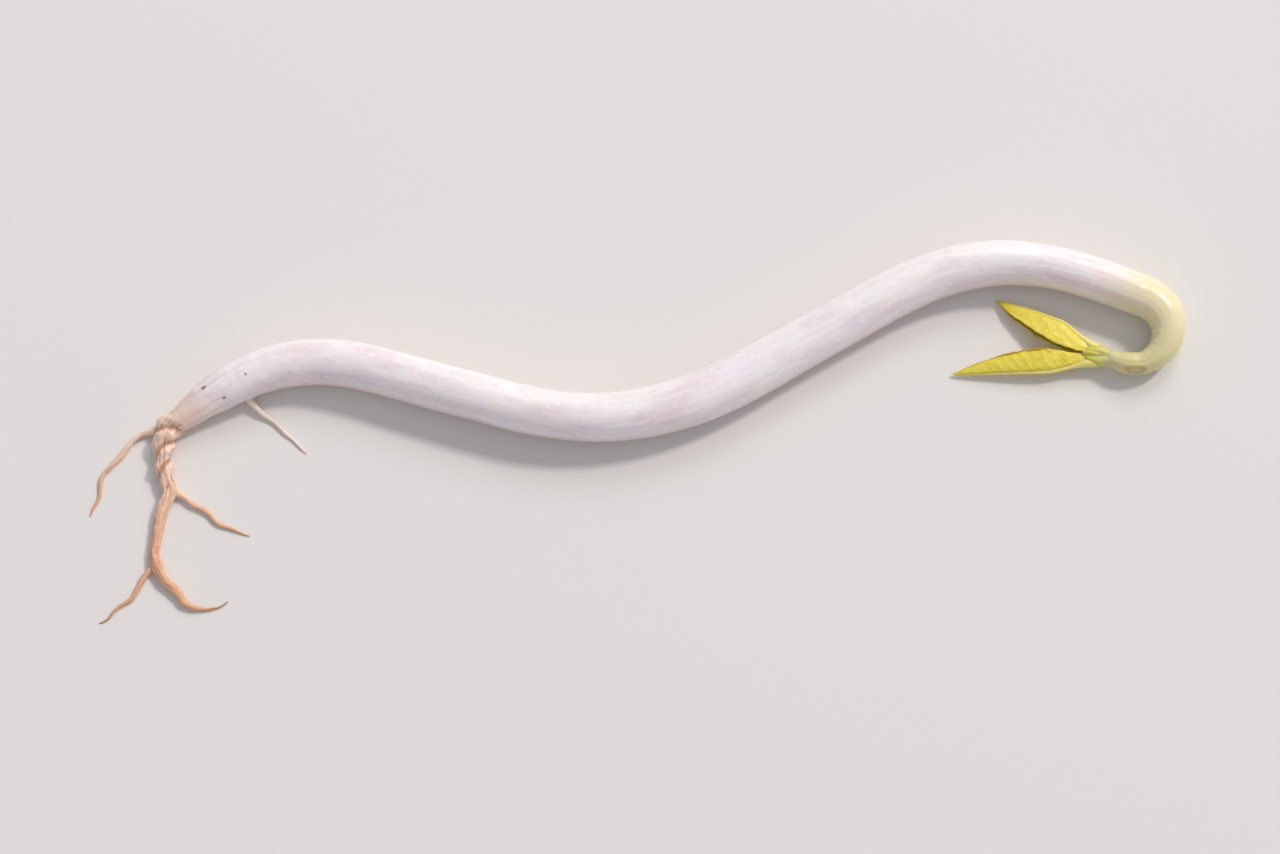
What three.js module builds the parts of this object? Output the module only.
// A mung bean sprout, picked whole, lying on its side on a flat surface.
//
// Millimetres, +Z up. The origin is on the surface, under the middle of the sprout's box.
// +X runs along the sprout from its root end to its hook, and +Y is on the left of that way.
//
// Every organ is a limb: a round or flattened body drawn out along a course over the surface.
// A course starts at a point with a heading, and bends turn it smoothly along its length.

import * as THREE from "three";
import { mergeVertices } from "three/addons/utils/BufferGeometryUtils.js";

// ---- Driving dimensions ----

const COLLAR = { x: -22.6, y: 0.7 }; // where the stem grows out of the root
const STEM_HEADING = 36; // degrees from +X, as the stem leaves the collar
const STEM_LENGTH = 56.4; // from the collar, along the hook, to the scars of the seed leaves
const HOOK_START = 50.4;
const EPICOTYL_LENGTH = 1.1;
const LEAF_SPLAY = 13; // degrees each first leaf stands off the epicotyl's line
const GROWTH_GAP = 0.3; // left between two organs that grow into one another
const END_ROUNDING = 0.4; // how far a limb's round end stands out, as a share of its radius

// Each bend turns a course by `turn` degrees, to the left where positive, over a stretch of it.
// The last two run into one another, which rounds the hook evenly.
const STEM_BENDS = [
  { from: 0, to: 11.5, turn: -52 },
  { from: 15, to: 31, turn: 46 },
  { from: 36, to: 50, turn: -51 },
  { from: HOOK_START, to: 54.2, turn: -92 },
  { from: 53.2, to: 57, turn: -92 },
];

// Half the stem's thickness, at distances from the collar.
const STEM_RADII = [
  [0, 0.7],
  [1.2, 0.86],
  [3, 1.02],
  [7, 1.13],
  [14, 1.21],
  [25, 1.27],
  [36, 1.23],
  [46, 1.13],
  [HOOK_START, 1.06],
  [52.1, 0.97],
  [53.5, 0.8],
  [54.7, 0.64],
  [55.4, 0.56],
  [56, 0.57],
  [STEM_LENGTH, 0.5],
];

// How high the stem's middle line runs. It lies on the surface, so that is its own radius up to
// the hook, whose stiff tissue then holds the thin end a little off the surface.
const HOOK_HEIGHTS = [
  [HOOK_START, 1.06],
  [53, 0.98],
  [55.4, 0.8],
  [STEM_LENGTH, 0.76],
];

const ROOT_LENGTH = 12.6;
const ROOT_BENDS = [
  { from: 0, to: 3, turn: 66 },
  { from: 3.2, to: 5.6, turn: -30 },
  { from: 5.8, to: 9.4, turn: 58 },
  { from: 9.6, to: 12.6, turn: 78 },
];
const ROOT_RADII = [
  [0, 0.66],
  [1.2, 0.54],
  [3, 0.42],
  [5.5, 0.31],
  [9, 0.24],
  [ROOT_LENGTH, 0.19],
];

// Side rootlets: where each leaves its parent, the angle and side it leaves at, and its course.
const ROOTLETS = [
  { parent: "root", at: 1.5, side: -1, angle: 34, length: 5.2, radius: 0.16, turn: 46 },
  { parent: "root", at: 4.4, side: 1, angle: 48, length: 3.9, radius: 0.14, turn: 30 },
  { parent: "root", at: 8.2, side: -1, angle: 52, length: 3.3, radius: 0.13, turn: -34 },
  { parent: "stem", at: 3.4, side: -1, angle: 62, length: 3.4, radius: 0.12, turn: -8 },
];

// The two first leaves are folded shut along the midrib and taper to a point.
const LEAVES = [
  { name: "first_leaf_inner", side: -1, length: 5.5, halfWidth: 0.7, turn: -4 },
  { name: "first_leaf_outer", side: 1, length: 7.0, halfWidth: 0.62, turn: 8 },
];
const PETIOLE_LENGTH = 0.3;
const PETIOLE_RADIUS = 0.24;
const LEAF_HALF_THICKNESS = 0.27;

// ---- Shape tools ----

const WALK_STEP = 0.05;
const UP = new THREE.Vector3(0, 0, 1);

function smoothstep(t) {
  const u = Math.min(1, Math.max(0, t));
  return u * u * (3 - 2 * u);
}

// A smooth line through [place, value] pairs.
function along(pairs) {
  const slope = (i) => {
    const before = pairs[Math.max(0, i - 1)];
    const after = pairs[Math.min(pairs.length - 1, i + 1)];
    return (after[1] - before[1]) / (after[0] - before[0]);
  };
  return (s) => {
    let i = 0;
    while (i < pairs.length - 2 && s > pairs[i + 1][0]) i += 1;
    const [from, low] = pairs[i];
    const [to, high] = pairs[i + 1];
    const width = to - from;
    const t = Math.min(1, Math.max(0, (s - from) / width));
    const ease = smoothstep(t);
    const bulgeIn = t * (1 - t) * (1 - t) * width * slope(i);
    const bulgeOut = t * t * (1 - t) * width * slope(i + 1);
    return low + (high - low) * ease + bulgeIn - bulgeOut;
  };
}

// Walks a course over the surface and gives back its place and heading at any distance.
function course(start, heading, bends, length) {
  const headingAt = (s) =>
    heading + bends.reduce((sum, b) => sum + b.turn * smoothstep((s - b.from) / (b.to - b.from)), 0);
  const places = [{ x: start.x, y: start.y }];
  for (let s = WALK_STEP / 2; s < length + WALK_STEP; s += WALK_STEP) {
    const last = places[places.length - 1];
    const angle = THREE.MathUtils.degToRad(headingAt(s));
    places.push({
      x: last.x + WALK_STEP * Math.cos(angle),
      y: last.y + WALK_STEP * Math.sin(angle),
    });
  }
  const placeAt = (s) => {
    const steps = Math.min(Math.max(s / WALK_STEP, 0), places.length - 1.001);
    const i = Math.floor(steps);
    const t = steps - i;
    return {
      x: places[i].x * (1 - t) + places[i + 1].x * t,
      y: places[i].y * (1 - t) + places[i + 1].y * t,
    };
  };
  return { headingAt, placeAt };
}

// A limb: lathed straight with round ends, then laid along its course.
function limb({ path, from, to, halfWidth, halfHeight = halfWidth, height, sides, ring }) {
  const capStart = halfWidth(from) * END_ROUNDING;
  const capEnd = halfWidth(to) * END_ROUNDING;
  const capTurns = [0, 30, 60].map(THREE.MathUtils.degToRad);
  const outline = capTurns.map((a) => [from + capStart * (1 - Math.cos(a)), Math.sin(a)]);
  const rings = Math.max(2, Math.ceil((to - capEnd - from - capStart) / ring));
  for (let i = 0; i <= rings; i += 1) {
    outline.push([THREE.MathUtils.lerp(from + capStart, to - capEnd, i / rings), 1]);
  }
  for (const a of [...capTurns].reverse()) {
    outline.push([to - capEnd * (1 - Math.cos(a)), Math.sin(a)]);
  }
  const geometry = new THREE.LatheGeometry(outline.map(([s, r]) => new THREE.Vector2(r, s)), sides);
  geometry.deleteAttribute("normal");
  geometry.deleteAttribute("uv");
  const position = geometry.getAttribute("position");
  for (let i = 0; i < position.count; i += 1) {
    const s = position.getY(i);
    const angle = THREE.MathUtils.degToRad(path.headingAt(s));
    const ahead = new THREE.Vector3(Math.cos(angle), Math.sin(angle), 0);
    const aside = ahead.cross(UP).multiplyScalar(position.getX(i) * halfWidth(s));
    const { x, y } = path.placeAt(s);
    position.setXYZ(i, x + aside.x, y + aside.y, height(s) + position.getZ(i) * halfHeight(s));
  }
  return mergeVertices(geometry, 1e-4);
}

const sprout = new THREE.Group();

function add(name, geometry, colour, roughness) {
  const material = new THREE.MeshStandardMaterial({ color: colour, roughness, metalness: 0 });
  const mesh = new THREE.Mesh(geometry, material);
  mesh.name = name;
  sprout.add(mesh);
}

// ---- Stem ----

const stemRadius = along(STEM_RADII);
const hookHeight = along(HOOK_HEIGHTS);
const stemHeight = (s) => (s < HOOK_START ? stemRadius(s) : hookHeight(s));
const stem = course(COLLAR, STEM_HEADING, STEM_BENDS, STEM_LENGTH);

add(
  "hypocotyl",
  limb({
    path: stem,
    from: 0,
    to: STEM_LENGTH,
    halfWidth: stemRadius,
    height: stemHeight,
    sides: 16,
    ring: 0.6,
  }),
  0xf1e8ec,
  0.35,
);

// ---- Taproot and its rootlets ----

const rootRadius = along(ROOT_RADII);
const root = course(COLLAR, STEM_HEADING + 180, ROOT_BENDS, ROOT_LENGTH);

add(
  "taproot",
  limb({
    path: root,
    from: GROWTH_GAP,
    to: ROOT_LENGTH,
    halfWidth: rootRadius,
    height: rootRadius,
    sides: 10,
    ring: 0.5,
  }),
  0xd8b090,
  0.6,
);

const PARENTS = {
  root: { path: root, radius: rootRadius },
  stem: { path: stem, radius: stemRadius },
};

ROOTLETS.forEach(({ parent, at, side, angle, length, radius, turn }, i) => {
  const { path, radius: parentRadius } = PARENTS[parent];
  const place = path.placeAt(at);
  const heading = path.headingAt(at) + side * angle;
  const out = THREE.MathUtils.degToRad(path.headingAt(at) + side * 90);
  const reach = parentRadius(at) + GROWTH_GAP + radius;
  const start = { x: place.x + reach * Math.cos(out), y: place.y + reach * Math.sin(out) };
  const thinning = along([
    [0, radius],
    [length * 0.6, radius * 0.85],
    [length, radius * 0.6],
  ]);
  add(
    `side_rootlet_${i + 1}`,
    limb({
      path: course(start, heading, [{ from: 0, to: length, turn }], length),
      from: 0,
      to: length,
      halfWidth: thinning,
      height: thinning,
      sides: 8,
      ring: 0.4,
    }),
    0xc9a684,
    0.6,
  );
});

// ---- Epicotyl ----

const EPICOTYL_RADII = [
  [0, 0.42],
  [0.6, 0.39],
  [EPICOTYL_LENGTH, 0.46],
];
const EPICOTYL_HEIGHTS = [
  [0, 0.76],
  [EPICOTYL_LENGTH, 0.68],
];
const epicotyl = course(
  stem.placeAt(STEM_LENGTH),
  stem.headingAt(STEM_LENGTH),
  [{ from: 0, to: EPICOTYL_LENGTH, turn: 6 }],
  EPICOTYL_LENGTH,
);

add(
  "epicotyl",
  limb({
    path: epicotyl,
    from: GROWTH_GAP,
    to: EPICOTYL_LENGTH,
    halfWidth: along(EPICOTYL_RADII),
    height: along(EPICOTYL_HEIGHTS),
    sides: 10,
    ring: 0.4,
  }),
  0xe6e0a8,
  0.45,
);

// ---- First leaves ----

const nodePlace = epicotyl.placeAt(EPICOTYL_LENGTH);
const nodeHeading = epicotyl.headingAt(EPICOTYL_LENGTH);
const petioleAside = PETIOLE_RADIUS + GROWTH_GAP / 2;

for (const { name, side, length, halfWidth, turn } of LEAVES) {
  const out = THREE.MathUtils.degToRad(nodeHeading + side * 90);
  const ahead = THREE.MathUtils.degToRad(nodeHeading);
  const start = {
    x: nodePlace.x + GROWTH_GAP * Math.cos(ahead) + petioleAside * Math.cos(out),
    y: nodePlace.y + GROWTH_GAP * Math.sin(ahead) + petioleAside * Math.sin(out),
  };
  const blade = length - PETIOLE_LENGTH;
  const width = along([
    [0, PETIOLE_RADIUS],
    [PETIOLE_LENGTH, PETIOLE_RADIUS],
    [PETIOLE_LENGTH + blade * 0.16, halfWidth * 0.8],
    [PETIOLE_LENGTH + blade * 0.36, halfWidth],
    [PETIOLE_LENGTH + blade * 0.72, halfWidth * 0.62],
    [length, 0.1],
  ]);
  const thickness = along([
    [0, PETIOLE_RADIUS],
    [PETIOLE_LENGTH, PETIOLE_RADIUS],
    [PETIOLE_LENGTH + blade * 0.35, LEAF_HALF_THICKNESS],
    [length, 0.1],
  ]);
  const height = along([
    [0, 0.62],
    [length * 0.5, 0.52],
    [length, 0.12],
  ]);
  add(
    name,
    limb({
      path: course(start, nodeHeading + side * LEAF_SPLAY, [{ from: 0, to: length, turn }], length),
      from: 0,
      to: length,
      halfWidth: width,
      halfHeight: thickness,
      height,
      sides: 12,
      ring: 0.4,
    }),
    0xd8c840,
    0.5,
  );
}

export default sprout;
